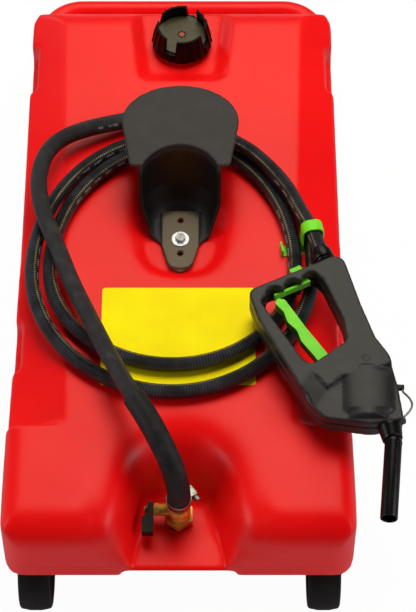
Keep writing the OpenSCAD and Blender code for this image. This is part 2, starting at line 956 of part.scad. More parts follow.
// Hoses: tubes swept along smooth curves through hand-chosen points
hose_sides = 12;
valve_top = -shelf_d + barb_base + gap;
coupling_in = [-22.3, 690.7, 18];
coupling_out = [22.6, 680.6, 18];
inlet = [209, 416];
flow_low = [270, 218];
inlet_way = unit(inlet - flow_low);
tail_end = [inlet[0] + 23.7 * inlet_way[0], inlet[1] + 23.7 * inlet_way[1], pump_z];
supply_points = [
    [0, valve_y, valve_top], [0, valve_y, valve_top + 30], [-2, 78, 0], [-10, 90, 32],
    [-25, 114, 55], [-46, 150, 66], [-70, 192, 66], [-101, 258, 56], [-128, 322, 46], [-155, 386, 39],
    [-179, 452, 38], [-199, 506, 38], [-208, 550, 38], [-208, 584, 38], [-199, 618, 37],
    [-179, 648, 34], [-145, 673, 28], [-95, 693, 21], [-57.4, 698.6, 18], coupling_in
];
tail_points = [
    [-84, 624, 16.5], [-52, 637, 24], [-5, 648, 33], [40, 650, 36.5], [77, 640, 37], [104, 622, 37.5],
    [131, 592, 38], [158, 551, 39.5], [176, 510, 42], [191.5, 474, 45], tail_end - [4.6, -16, 0], tail_end
];
coil_x = -17.5;
coil_y = 430;
coil_start = 0.03;
coil_end = 1.9;
coil_wide = [217, 26];
coil_top = [256, 23];
coil_low = [235, 45];
loop_rings = 24;

// A coil point after a number of turns: bunched over the hook, spread at the bottom
function coil_point(turns) =
    let (
        across_r = coil_wide[0] - coil_wide[1] * turns,
        along = cos(360 * turns),
        along_r = along > 0 ? coil_top[0] - coil_top[1] * turns : coil_low[0] - coil_low[1] * turns,
        lift = max(0, 1 - turns / 0.12) * 6
    )
    [coil_x + across_r * sin(360 * turns), coil_y + along_r * along, coil_z + lift];

coil_rings = ceil((coil_end - coil_start) * loop_rings);
coil_stub = 0.004;
coil_turns = concat(
    [coil_start, coil_start + coil_stub],
    [for (i = [1:coil_rings - 1]) coil_start + (coil_end - coil_start) * i / coil_rings],
    [coil_end - coil_stub, coil_end]);
coil_points = [for (turns = coil_turns) coil_point(turns)];
coil_last = len(coil_points) - 1;
coil_way = unit(coil_points[coil_last] - coil_points[coil_last - 1]);
tail_start = coil_points[coil_last] + coil_way * 0.9;
coil_gap = min([for (i = [0:coil_last], j = [0:coil_last])
    if (j > i + loop_rings / 2) norm(coil_points[i] - coil_points[j])]) - 2 * coil_r;
echo(coil_least_gap = coil_gap);

// Points on a smooth curve through the route, a few to each stretch
function curve_point(p, i, t) =
    let (
        n = len(p) - 1,
        a = p[max(i - 1, 0)],
        b = p[i],
        c = p[min(i + 1, n)],
        d = p[min(i + 2, n)]
    )
    0.5 * (2 * b + (c - a) * t + (2 * a - 5 * b + 4 * c - d) * t * t + (3 * b - a - 3 * c + d) * t * t * t);

function route(p, steps) = concat(
    [for (i = [0:len(p) - 2], s = [0:steps - 1]) curve_point(p, i, s / steps)],
    [p[len(p) - 1]]);

function tangent(p, i) = unit(p[min(i + 1, len(p) - 1)] - p[max(i - 1, 0)]);

// Carry the first ring's side direction along the curve without twist
function carried(p, side, i = 0) =
    let (t = tangent(p, i), n = unit(side - t * (side * t)))
    i == len(p) - 1 ? [n] : concat([n], carried(p, n, i + 1));

function rings(p, r, sides) =
    let (normals = carried(p, [0.3, 0.2, 1]))
    [for (i = [0:len(p) - 1])
        let (n = normals[i], b = cross(tangent(p, i), n))
        for (k = [0:sides - 1])
            p[i] + r * (cos(360 * k / sides) * n + sin(360 * k / sides) * b)];

function wall_faces(count, sides, start, flip) = [
    for (i = [0:count - 2], k = [0:sides - 1])
        let (
            a = start + i * sides + k,
            b = start + i * sides + (k + 1) % sides,
            c = a + sides,
            d = b + sides
        )
        each flip ? [[a, b, c], [b, d, c]] : [[a, c, b], [b, c, d]]
];

// A solid tube
module cord(p, r, sides) {
    n = len(p);
    last = (n - 1) * sides;
    polyhedron(
        points = rings(p, r, sides),
        faces = concat(
            wall_faces(n, sides, 0, false),
            [for (k = [1:sides - 2]) [0, k, k + 1]],
            [for (k = [1:sides - 2]) [last, last + k + 1, last + k]]));
}

// A tube with a bore
module pipe(p, r, bore, sides) {
    n = len(p);
    inner = n * sides;
    last = (n - 1) * sides;
    polyhedron(
        points = concat(rings(p, r, sides), rings(p, bore, sides)),
        faces = concat(
            wall_faces(n, sides, 0, false),
            wall_faces(n, sides, inner, true),
            [for (k = [0:sides - 1]) let (m = (k + 1) % sides) each [[k, m, inner + k], [m, inner + m, inner + k]]],
            [for (k = [0:sides - 1])
                let (m = (k + 1) % sides, a = last + k, b = last + m)
                each [[a, inner + a, b], [b, inner + a, inner + b]]]));
}

supply_route = route(supply_points, 2);
sleeve_rings = 13;

module hose_sleeve() {
    on_tank()
        color([0.1, 0.1, 0.1])
            pipe([for (i = [0:sleeve_rings - 1]) supply_route[i]], sleeve_r, supply_r + gap + 0.1, hose_sides);
}

module supply_hose() {
    on_tank()
        color([0.12, 0.11, 0.1])
            pipe(supply_route, supply_r, barb_r + 1.4, hose_sides);
}

module hose_coupling() {
    way = unit(coupling_out - coupling_in);
    length = norm(coupling_out - coupling_in);
    end_gap = 0.8;
    on_tank()
        color([0.74, 0.57, 0.27])
            translate(coupling_in)
                rotate([0, acos(way[2]), atan2(way[1], way[0])])
                    translate([0, 0, end_gap]) {
                        cylinder(h = length - 2 * end_gap, r = supply_r);
                        translate([0, 0, length / 2 - 6 - end_gap])
                            cylinder(h = 12, r = supply_r + 2, $fn = 6);
                    }
}

module hose_coil() {
    on_tank()
        color([0.12, 0.11, 0.1])
            cord(coil_points, coil_r, 8);
}

module hose_tail() {
    on_tank()
        color([0.12, 0.11, 0.1])
            cord(route(concat([tail_start, tail_start + coil_way * 12], tail_points), 2), coil_r, 8);
}

// Hose clip: an oval ring round two strands, with a tongue under the inner strand
clip_at = [190.7, 472, 0];
clip_turn = 10;
clip_l = 18;

module hose_clip() {
    half = coil_r + 4.2;
    inner_half = coil_r + 1.7;
    ring_wall = 2.4;
    low = 0.4;
    inner_low = coil_z - coil_r - gap;
    inner_high = pump_z + coil_r + 1;
    tongue_t = inner_low - low - gap;
    tongue_l = 44;
    on_tank()
        color([0.45, 0.82, 0.16])
            translate(clip_at)
                rotate([0, 0, 90 + clip_turn])
                    rotate([90, 0, 90])
                        translate([0, 0, -clip_l / 2])
                            linear_extrude(clip_l)
                                difference() {
                                    union() {
                                        polygon(rounded(
                                            box_corners(-half - ring_wall, low, inner_half + ring_wall, inner_high + ring_wall),
                                            [0, 0, 13, 13]));
                                        translate([inner_half, low])
                                            square([tongue_l - inner_half, tongue_t]);
                                        translate([tongue_l - 2.4, low])
                                            square([2.4, 15]);
                                    }
                                    polygon(rounded(
                                        box_corners(-half, inner_low, inner_half, inner_high),
                                        [8, 8, 10, 10]));
                                }
}

// Pump handle: two half shells round a finger window, with the trigger and its works inside
pump_outline = rounded(
    [
        [97, 354], [232, 420], [257, 330], [275, 276], [294, 246], [304, 196],
        [310, 144.9], [264, 138], [200, 147], [180, 170], [110, 308]
    ],
    [13, 16, 60, 30, 24, 60, 5.5, 30, 26, 30, 60]);
window_outline = rounded(
    [[113, 340], [200, 385], [231, 304], [235, 270], [180, 227], [132, 306]],
    [9, 12, 40, 10, 14, 60]);
scallop_r = 13;
scallops = [[136, 348], [162, 361], [188, 373]];
flow_r = 9;
block_at = [219, 182];
block_r = 13;
trigger_at = [205, 243];
trigger_turn = 122;
cam_x = 14;
plunger_r = 2.5;
plunger_top = trigger_at[1] - 5 - gap;
plunger_head = 6;
latch_at = [157, 377];
latch_turn = 26.2;
latch_t = 8;
latch_span = [10, 28];
lip_span = [-30, 28];
lip_low = -12;
lip_h = 4;
latch_travel = 4;
spout_base = [287, 165];
spout_kink = [294.5, 115];
spout_tip = [283.5, -2];
spout_knuckle = 0.4;
collar_at = 23.5;
collar_l = 22;
screw_places = [[112, 348], [271, 262], [196, 164], [258, 150]];
screw_r = 2.2;
eye_spans = [[200, 208], [146, 154]];
eye_r = 3.6;
nose_step = 6;
nose_outline = [[183, 222], [206, 194], [228, 212], [292, 231], [340, 231], [340, 100], [160, 100], [160, 180]];
barrel_r = 50;

module in_pump()
    on_tank()
        translate([0, 0, pump_z])
            children();

module rod(a, b, r) {
    way = b - a;
    translate([a[0], a[1], 0])
        rotate([0, 90, atan2(way[1], way[0])])
            cylinder(h = norm(way), r = r);
}

// A bar through the given places, with a slight knuckle at each bend
module bent_bar(places, r, knuckle) {
    last = len(places) - 1;
    for (i = [0:last - 1])
        rod(places[i], places[i + 1], r);
    for (i = [1:last - 1])
        translate([places[i][0], places[i][1], 0])
            sphere(r + knuckle);
}

module flow_path(clear) {
    rod(inlet, flow_low, flow_r + clear);
}

module block_form(clear) {
    rod([block_at[0], block_at[1] + 22 + clear], [block_at[0], block_at[1] - 16 - clear], block_r + clear);
    rod(block_at - [clear, 0], [spout_base[0], block_at[1]], block_r - 1 + clear);
    rod([spout_base[0], block_at[1] + 12 + clear], [spout_base[0], spout_base[1]], block_r + clear);
    rod(flow_low + [0, 1], [flow_low[0], block_at[1]], block_r - 1 + clear);
}

module trigger_pocket() {
    pocket_t = trigger_t + 2 * gap;
    translate([0, 0, -pocket_t / 2])
        linear_extrude(pocket_t) {
            translate(trigger_at)
                circle(13);
            polygon([[190, 234], [168, 262], [214, 278], [226, 238]]);
        }
    translate([0, 0, -pocket_t / 2])
        linear_extrude(pocket_t)
            translate([block_at[0] - 8, block_at[1] + 22])
                square([16, plunger_top - block_at[1] - 8]);
}

module latch_slot() {
    translate(latch_at)
        rotate([0, 0, latch_turn])
            translate([latch_span[0] - gap, -2 * over, -latch_t / 2 - gap])
                cube([latch_span[1] - latch_span[0] + 2 * gap, 5 * over, latch_t + 2 * gap]);
    translate(latch_at)
        rotate([0, 0, latch_turn])
            translate([lip_span[0] - gap, lip_low - 2 * over, -latch_t / 2 - 2 - gap])
                cube([lip_span[1] - lip_span[0] + 2 * gap, 2 * over + lip_h + gap, latch_t + 4 + 2 * gap]);
}

module bail_eyes() {
    for (span = eye_spans)
        rod([bail_axis_x, span[0]], [bail_axis_x, span[1]], eye_r);
    for (span = eye_spans)
        translate([bail_axis_x - 14, span[0], -eye_r])
            cube([14, span[1] - span[0], 2 * eye_r]);
}

// The valve chamber shows as a low barrel in the stepped-down nose
module nose_barrel() {
    middle = 261;
    intersection() {
        translate([0, 0, shell_t + 2 - barrel_r])
            rod([middle, 148], [middle, 229], barrel_r);
        translate([middle, 190, shell_t])
            cube([2 * barrel_r, 200, 4 * nose_step], center = true);
    }
}

// One half of the pump handle before it is cut at the parting plane
module pump_mass() {
    difference() {
        union() {
            difference() {
                translate([0, 0, -shell_t])
                    linear_extrude(2 * shell_t)
                        difference() {
                            polygon(pump_outline);
                            polygon(window_outline);
                            for (place = scallops)
                                translate(place)
                                    circle(scallop_r);
                        }
                translate([0, 0, shell_t - nose_step])
                    linear_extrude(nose_step + over)
                        polygon(nose_outline);
            }
            bail_eyes();
            nose_barrel();
        }
        flow_path(0.1);
        block_form(0.1);
        trigger_pocket();
        latch_slot();
        rod(inlet, inlet + unit(inlet - flow_low) * 60, 12.1);
        rod(spout_base, spout_kink, spout_r + 0.1);
        rod([bail_axis_x, 130], [bail_axis_x, 230], wire_r + run);
        translate([trigger_at[0], trigger_at[1], -shell_t + 4])
            cylinder(h = 2 * shell_t - 8, r = pin_r + run);
        for (place = screw_places)
            translate([place[0], place[1], -shell_t - 1])
                cylinder(h = 2 * shell_t - nose_step - 0.5, r = screw_r + run);
        for (place = screw_places)
            translate([place[0], place[1], -shell_t - 1])
                cylinder(h = 5, r = 4.6);
    }
}

module half_space(side)
    translate([0, -100, side > 0 ? 0 : -60])
        cube([400, 700, 60]);

module pump_front_shell() {
    in_pump()
        color([0.2, 0.2, 0.2])
            intersection() {
                pump_mass();
                half_space(1);
            }
}

module pump_rear_shell() {
    in_pump()
        color([0.18, 0.18, 0.18])
            intersection() {
                pump_mass();
                half_space(-1);
            }
}

module shell_screws() {
    in_pump()
        color([0.7, 0.7, 0.72])
            for (place = screw_places)
                translate([place[0], place[1], -shell_t]) {
                    cylinder(h = 2 * shell_t - 8, r = screw_r);
                    translate([0, 0, 0.6])
                        cylinder(h = 3.4, r = 4.4);
                }
}

module inlet_collar() {
    way = inlet_way;
    in_pump()
        color([0.15, 0.15, 0.15])
            difference() {
                union() {
                    rod(inlet + way * 0.5, inlet + way * 22.5, 12);
                    rod(inlet + way * 4, inlet + way * 17, 15);
                }
                rod(inlet - way, inlet + way * 18, flow_r - 3);
            }
}

module flow_tube() {
    way = inlet_way;
    in_pump()
        color([0.75, 0.75, 0.72])
            difference() {
                rod(inlet + way * 0.2, flow_low, flow_r);
                rod(inlet + way * 2, flow_low - way * 2, flow_r - 2);
            }
}

module valve_block() {
    in_pump()
        color([0.55, 0.55, 0.52])
            difference() {
                block_form(0);
                rod(block_at + [0, 30], block_at - [0, 10], plunger_head + run);
                rod(block_at, [spout_base[0], block_at[1]], 5);
                rod([spout_base[0], block_at[1]], [spout_base[0], 100], 6);
                rod(inlet, flow_low, flow_r + 0.1);
                rod(flow_low + [0, 10], [flow_low[0], block_at[1]], 5);
            }
}

module plunger() {
    in_pump()
        color([0.8, 0.8, 0.78]) {
            rod([block_at[0], plunger_top], block_at + [0, 1], plunger_r);
            rod(block_at + [0, 8], block_at, plunger_head);
        }
}

module trigger() {
    finger = [
        [0, -9], [58, -7], [trigger_l - 8, -7.5], [trigger_l, 0], [trigger_l - 5, 8], [trigger_l - 24, 5],
        [trigger_l - 42, 10], [trigger_l - 60, 6], [trigger_l - 78, 11], [16, 9], [0, 9]
    ];
    in_pump()
        color([0.42, 0.78, 0.15])
            translate([trigger_at[0], trigger_at[1], -trigger_t / 2])
                difference() {
                    union() {
                        linear_extrude(trigger_t)
                            rotate([0, 0, trigger_turn])
                                polygon(rounded(finger, [0, 30, 4, 4, 6, 16, 12, 16, 14, 10, 0]));
                        cylinder(h = trigger_t, r = 11);
                        translate([0, -5, trigger_t / 2 - 4])
                            cube([cam_x + 2, 8, 8]);
                    }
                    translate([0, 0, -1])
                        cylinder(h = trigger_t + 2, r = pin_r + run);
                    translate([0, 0, -1])
                        cylinder(h = spring_seat + 1, r = 8);
                }
}

module trigger_pin() {
    in_pump()
        translate([trigger_at[0], trigger_at[1], -shell_t + 4.2])
            color([0.75, 0.75, 0.77])
                cylinder(h = 2 * shell_t - 8.4, r = pin_r);
}

// Torsion spring round the pin, wound from one unbroken wire
spring_turns = 2.5;
spring_wire = 0.7;
spring_r = 5.6;
spring_pitch = 1.9;
spring_steps = 12;
spring_seat = 7;
echo(spring_least_gap = spring_pitch - 2 * spring_wire);

module trigger_spring() {
    count = spring_turns * spring_steps;
    in_pump()
        translate([trigger_at[0], trigger_at[1], -trigger_t / 2 + spring_wire + 0.1])
            color([0.65, 0.66, 0.68])
                cord([for (i = [0:count])
                    let (a = 360 * i / spring_steps)
                    [spring_r * cos(a), spring_r * sin(a), spring_pitch * i / spring_steps]],
                    spring_wire, 6);
}

module trigger_latch() {
    in_pump()
        color([0.36, 0.7, 0.13])
            translate(latch_at)
                rotate([0, 0, latch_turn])
                    translate([0, 0, -latch_t / 2]) {
                        translate([latch_span[0], lip_low + 1, 0])
                            cube([latch_span[1] - latch_span[0], 32, latch_t]);
                        translate([lip_span[0], lip_low, -2])
                            cube([lip_span[1] - lip_span[0], lip_h, latch_t + 4]);
                    }
}

module spout() {
    in_pump()
        color([0.08, 0.08, 0.08])
            difference() {
                bent_bar([spout_base + unit(spout_kink - spout_base) * 2.4, spout_kink, spout_tip], spout_r, spout_knuckle);
                bent_bar(
                    [spout_base * 1.1 - spout_kink * 0.1, spout_kink, spout_tip * 1.1 - spout_kink * 0.1],
                    spout_bore, spout_knuckle);
            }
}

module spout_nut() {
    way = spout_kink - spout_base;
    in_pump()
        color([0.13, 0.13, 0.13])
            translate(spout_base)
                rotate([0, 90, atan2(way[1], way[0])])
                    translate([0, 0, collar_at])
                        difference() {
                            cylinder(h = collar_l, r1 = spout_r + 5, r2 = spout_r + 2);
                            translate([0, 0, -1])
                                cylinder(h = collar_l + 2, r = spout_r + run);
                        }
}

module hang_wire() {
    a = bail_axis_x;
    b = bail_axis_x + bail_reach;
    in_pump()
        color([0.72, 0.73, 0.75])
            bent_bar([[a, 207], [a, 196], [b, 188], [b, 166], [a, 158], [a, 147]], wire_r, 0.12);
}

tank();
filler_cap();
cap_disc();
cap_gasket();
hose_hook();
hook_bolt();
hook_washer();
axle();
wheel_left();
wheel_right();
axle_washers();
push_nuts();
outlet_gasket();
valve_body();
valve_seats();
valve_ball();
valve_stem();
packing_nut();
valve_lever();
lever_nut();
valve_barb();
clamp_band();
clamp_screw();
hose_sleeve();
supply_hose();
hose_coupling();
hose_coil();
hose_tail();
hose_clip();
pump_front_shell();
pump_rear_shell();
shell_screws();
inlet_collar();
flow_tube();
valve_block();
plunger();
trigger();
trigger_pin();
trigger_spring();
trigger_latch();
spout();
spout_nut();
hang_wire();
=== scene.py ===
import bmesh
import bpy
import math
from mathutils import Matrix, Vector


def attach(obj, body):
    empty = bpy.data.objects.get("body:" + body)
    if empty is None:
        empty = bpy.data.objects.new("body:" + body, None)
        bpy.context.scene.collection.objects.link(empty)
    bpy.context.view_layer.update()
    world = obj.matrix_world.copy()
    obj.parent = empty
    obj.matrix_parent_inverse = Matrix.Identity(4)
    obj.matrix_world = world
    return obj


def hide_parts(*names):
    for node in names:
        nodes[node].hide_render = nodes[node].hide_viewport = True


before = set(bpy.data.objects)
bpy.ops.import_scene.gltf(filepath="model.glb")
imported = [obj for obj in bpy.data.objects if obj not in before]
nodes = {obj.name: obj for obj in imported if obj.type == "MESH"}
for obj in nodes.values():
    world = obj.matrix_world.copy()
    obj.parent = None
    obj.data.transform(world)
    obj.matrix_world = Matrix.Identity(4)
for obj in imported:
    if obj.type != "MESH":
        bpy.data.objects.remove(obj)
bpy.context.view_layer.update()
scene = bpy.context.scene

# Camera and stage
# The caddy lies on its back on a pale studio floor, and the camera looks down over its wheel end.
# A key lamp above and two low lamps in front light it. Its gloss mirrors only the warm card behind,
# a lamp at each side and a small cool rim lamp.
WHEEL_R = 70
AXLE = Vector((0, 65, -208))
AXLE_IN_SCENE = (-0.0395, -0.44473244132025104, WHEEL_R / 1000)
LIE = math.radians(6.573758509292603)
LAID = (
    Matrix.Translation(AXLE_IN_SCENE)
    @ Matrix.Rotation(-LIE, 4, "X")
    @ Matrix.Scale(0.001, 4)
    @ Matrix.Translation(-AXLE)
)


def laid(x, y, z):
    """A place in the tank's own frame, in millimetres, as a place in the scene."""
    return LAID @ Vector((x, y, z))


CAMERA_PLACE = (40.6, -1545.6, 2906.4)
AHEAD = Vector((0, 0.55711, -0.83044))
OVERHEAD = Vector((0, 0.83044, 0.55711))
DIP = 0.00809
lens = bpy.data.cameras.new("photo_view")
lens.lens = 141.84
lens.sensor_width = 36
lens.clip_end = 50
camera = bpy.data.objects.new("photo_view", lens)
look = LAID.to_3x3() @ (AHEAD - DIP * OVERHEAD)
camera.location = laid(*CAMERA_PLACE)
camera.rotation_euler = look.to_track_quat("-Z", "Y").to_euler()
scene.collection.objects.link(camera)
scene.camera = camera
scene.view_settings.view_transform = "Standard"

WHITE, WARM, COOL = (1, 1, 1), (1, 0.95, 0.76), (0.86, 0.93, 1)
LAMPS_AIM = Vector((0, 0, 0.15))
for name, place, size, power, tint, in_gloss in (
    ("key", (0.2, 1.0, 2.6), 1.5, 53, WHITE, False),
    ("card", (0.2, 2.4, 3.0), 3.0, 42, WARM, True),
    ("left", (-2.4, -0.5, 1.5), 1.6, 15, WHITE, True),
    ("right", (2.4, -0.7, 1.6), 1.6, 17, WHITE, True),
    ("rim", (-1.9, 3.0, 1.1), 0.7, 6, COOL, True),
    ("front_left", (-2.4, -2.0, 0.7), 1.2, 21, WHITE, False),
    ("front_right", (2.4, -2.0, 0.7), 1.2, 21, WHITE, False),
):
    lamp = bpy.data.lights.new(name, "AREA")
    lamp.shape = "DISK"
    lamp.size = size
    lamp.energy = power
    lamp.color = tint
    holder = bpy.data.objects.new(name, lamp)
    holder.location = place
    holder.rotation_euler = (LAMPS_AIM - Vector(place)).to_track_quat("-Z", "Y").to_euler()
    holder.visible_glossy = in_gloss
    scene.collection.objects.link(holder)


class Wire:
    """A socket in a node tree. Sums, products and comparisons add Math nodes, make() adds any other node."""

    def __init__(self, tree, socket):
        self.tree, self.socket = tree, socket

    def make(self, kind, settings, inputs, output=0):
        node = self.tree.nodes.new(kind)
        for key, value in settings.items():
            setattr(node, key, value)
        for key, value in inputs.items():
            socket = next(s for s in node.inputs if key in (s.identifier, s.name))
            if isinstance(value, Wire):
                self.tree.links.new(value.socket, socket)
            else:
                socket.default_value = value
        return Wire(self.tree, node.outputs[output])

    def maths(self, operation, *terms):
        names = ("Value", "Value_001", "Value_002")
        return self.make("ShaderNodeMath", {"operation": operation}, dict(zip(names, terms)))

    def __add__(self, other):
        return self.maths("ADD", self, other)

    __radd__ = __add__

    def __sub__(self, other):
        return self.maths("SUBTRACT", self, other)

    def __rsub__(self, other):
        return self.maths("SUBTRACT", other, self)

    def __mul__(self, other):
        return self.maths("MULTIPLY", self, other)

    __rmul__ = __mul__

    def __lt__(self, other):
        return self.maths("LESS_THAN", self, other)

    def __gt__(self, other):
        return self.maths("GREATER_THAN", self, other)


SKY, SKY_UP_TO_WHITE, SKY_LESS_IN_GLOSS = 0.024, 0.976, 0.022
world = bpy.data.worlds.new("studio")
world.use_nodes = True
scene.world = world
air = world.node_tree
ray = air.nodes.new("ShaderNodeLightPath")
straight = Wire(air, ray.outputs["Is Camera Ray"])
seen = straight.maths("MAXIMUM", straight, Wire(air, ray.outputs["Is Transmission Ray"]))
mirrored = Wire(air, ray.outputs["Is Glossy Ray"])
strength = SKY + SKY_UP_TO_WHITE * seen - SKY_LESS_IN_GLOSS * mirrored
backdrop = air.nodes["Background"]
backdrop.inputs["Color"].default_value = (1, 1, 1, 1)
air.links.new(strength.socket, backdrop.inputs["Strength"])

FLOOR_HALF = 9
FLOOR_GLOW, FLOOR_DIMMED = 0.97, 0.7
bm = bmesh.new()
bmesh.ops.create_grid(bm, x_segments=1, y_segments=1, size=FLOOR_HALF)
floor_mesh = bpy.data.meshes.new("floor")
bm.to_mesh(floor_mesh)
bm.free()
floor = bpy.data.objects.new("floor", floor_mesh)
scene.collection.objects.link(floor)
paper = bpy.data.materials.new("pale_floor")
paper.use_nodes = True
paper_tree = paper.node_tree
paper_shader = paper_tree.nodes["Principled BSDF"]
paper_shader.inputs["Base Color"].default_value = (0.9, 0.9, 0.9, 1)
paper_shader.inputs["Roughness"].default_value = 0.7
ray = paper_tree.nodes.new("ShaderNodeLightPath")
seen = Wire(paper_tree, ray.outputs["Is Camera Ray"])
mirrored = Wire(paper_tree, ray.outputs["Is Glossy Ray"])
matt = Wire(paper_tree, paper_shader.outputs[0])
glow = seen.make("ShaderNodeEmission", {}, {"Color": (1, 1, 1, 1), "Strength": 1.0})
dim = seen.make("ShaderNodeEmission", {}, {"Color": (0.12, 0.11, 0.14, 1), "Strength": 1.0})
surface = matt
for factor, other in ((FLOOR_DIMMED * mirrored, dim), (FLOOR_GLOW * seen, glow)):
    surface = seen.make("ShaderNodeMixShader", {}, {"Fac": factor, "Shader": surface, "Shader_001": other})
paper_tree.links.new(surface.socket, paper_tree.nodes["Material Output"].inputs["Surface"])
floor_mesh.materials.append(paper)

# Supply hose
# Black rubber fuel hose with a cloth-marked cover. It is pushed over the brass barb of the valve,
# held there by a clamp, runs up over the coil and ends in the coupling behind the hook.
SUPPLY_R = 12.5
FULL_TURN = 6.2832
supply_places = [
    (0, 76, -53.883), (0, 76, -23.883), (-2, 78, 0), (-10, 90, 32),
    (-25, 114, 55), (-46, 150, 66), (-70, 192, 66), (-101, 258, 56), (-128, 322, 46), (-155, 386, 39),
    (-179, 452, 38), (-199, 506, 38), (-208, 550, 38), (-208, 584, 38), (-199, 618, 37),
    (-179, 646, 34), (-145, 669, 28), (-95, 689, 21), (-57.4, 698.6, 18), (-22.3, 690.7, 18),
]


def route(places, steps=6):
    """A smooth curve through places on the tank, in the scene's metres."""
    p = [Vector(q) for q in places]
    last = len(p) - 1
    line = []
    for i in range(last):
        a, b, c, d = p[max(i - 1, 0)], p[i], p[i + 1], p[min(i + 2, last)]
        for s in range(steps):
            t = s / steps
            line.append(0.5 * (2 * b + (c - a) * t + (2 * a - 5 * b + 4 * c - d) * t * t
                               + (3 * b - a - 3 * c + d) * t ** 3))
    line.append(p[last])
    return [LAID @ q for q in line]


def reach(line):
    return sum((b - a).length for a, b in zip(line, line[1:]))


def hose(name, line, radius, sides, mouth=0.0):
    """A tube drawn out ring by ring along a line, with its turn and its length kept as a UV map."""
    bm = bmesh.new()
    turn = bm.verts.layers.float.new("turn")
    run = bm.verts.layers.float.new("run")
    side = Vector((0.3, 0.2, 1))
    spots = []
    for i, place in enumerate(line):
        way = (line[min(i + 1, len(line) - 1)] - line[max(i - 1, 0)]).normalized()
        side = (side - way * side.dot(way)).normalized()
        turned = Matrix((side, way.cross(side), way)).transposed().to_4x4()
        spots.append(Matrix.Translation(place) @ turned)
    ring = bmesh.ops.create_circle(bm, segments=sides, radius=radius, matrix=spots[0])["verts"]
    for k, v in enumerate(ring):
        v[turn] = k / sides
    rim = bm.edges[:]
    bmesh.ops.contextual_create(bm, geom=rim)
    along = 0.0
    for i in range(1, len(line)):
        along += (line[i] - line[i - 1]).length
        drawn = bmesh.ops.extrude_edge_only(bm, edges=rim)["geom"]
        ring = [g for g in drawn if isinstance(g, bmesh.types.BMVert)]
        rim = [g for g in drawn if isinstance(g, bmesh.types.BMEdge)]
        bmesh.ops.transform(bm, matrix=spots[i] @ spots[i - 1].inverted(), verts=ring)
        for v in ring:
            v[run] = along
    bmesh.ops.contextual_create(bm, geom=rim)
    if mouth:
        ends = [f for f in bm.faces if len(f.verts) > 4]
        bmesh.ops.bevel(bm, geom=list({e for f in ends for e in f.edges}), offset=mouth, segments=3,
                        profile=0.5, affect="EDGES", material=-1)
    bmesh.ops.recalc_face_normals(bm, faces=bm.faces)
    # The extrusion leaves no fixed order, so points and faces are put in one that every run repeats
    slant = Vector((1, 2.7, 7.3))
    bm.verts.sort(key=lambda v: v.co.dot(slant))
    bm.faces.sort(key=lambda f: f.calc_center_median().dot(slant))
    uv = bm.loops.layers.uv.new("turn_and_run")
    for f in bm.faces:
        f.smooth = len(f.verts) <= 4
        # The faces that close the round go from its last quarter to its first, one whole turn on
        closing = max(v[turn] for v in f.verts) > 0.75
        for loop in f.loops:
            t = loop.vert[turn]
            loop[uv].uv = (t + 1 if closing and t < 0.25 else t, loop.vert[run])
    mesh = bpy.data.meshes.new(name)
    bm.to_mesh(mesh)
    bm.free()
    piece = bpy.data.objects.new(name, mesh)
    scene.collection.objects.link(piece)
    return piece


def shade(red, green, blue):
    """A colour as seen on a screen, 0 to 255, as the linear colour that a shader takes."""
    line = [c / 255 / 12.92 if c < 10 else ((c / 255 + 0.055) / 1.055) ** 2.4 for c in (red, green, blue)]
    return (*line, 1)


def finish(name, settings):
    """A new material, its shader, and the place on the object that its pattern reads."""
    made = bpy.data.materials.new(name)
    made.use_nodes = True
    shader = made.node_tree.nodes["Principled BSDF"]
    for key, value in settings.items():
        shader.inputs[key].default_value = value
    place = made.node_tree.nodes.new("ShaderNodeTexCoord")
    return made, shader, Wire(made.node_tree, place.outputs["Object"])


def feed(shader, colour, rough, normal):
    for wire, socket in ((colour, "Base Color"), (rough, "Roughness"), (normal, "Normal")):
        wire.tree.links.new(wire.socket, shader.inputs[socket])


def mix(a, b, factor):
    """Colour a, going to colour b where the factor is 1."""
    return factor.make("ShaderNodeMix", {"data_type": "RGBA"},
                       {"Factor_Float": factor, "A_Color": a, "B_Color": b}, 2)


def noise(place, scale, detail=2.0, rough=0.5):
    return place.make("ShaderNodeTexNoise", {},
                      {"Vector": place, "Scale": scale, "Detail": detail, "Roughness": rough})


def ramp(value, low, high):
    """0 below low, 1 above high."""
    return value.make("ShaderNodeMapRange", {"interpolation_type": "SMOOTHSTEP"},
                      {"Value": value, "From Min": low, "From Max": high})


def near(value, middle, inner, outer):
    """1 where a value is within inner of the middle, 0 where it is outer or more away."""
    return 1 - ramp(value.maths("ABSOLUTE", value - middle), inner, outer)


def bump(height, strength, depth):
    return height.make("ShaderNodeBump", {}, {"Height": height, "Strength": strength, "Distance": depth})


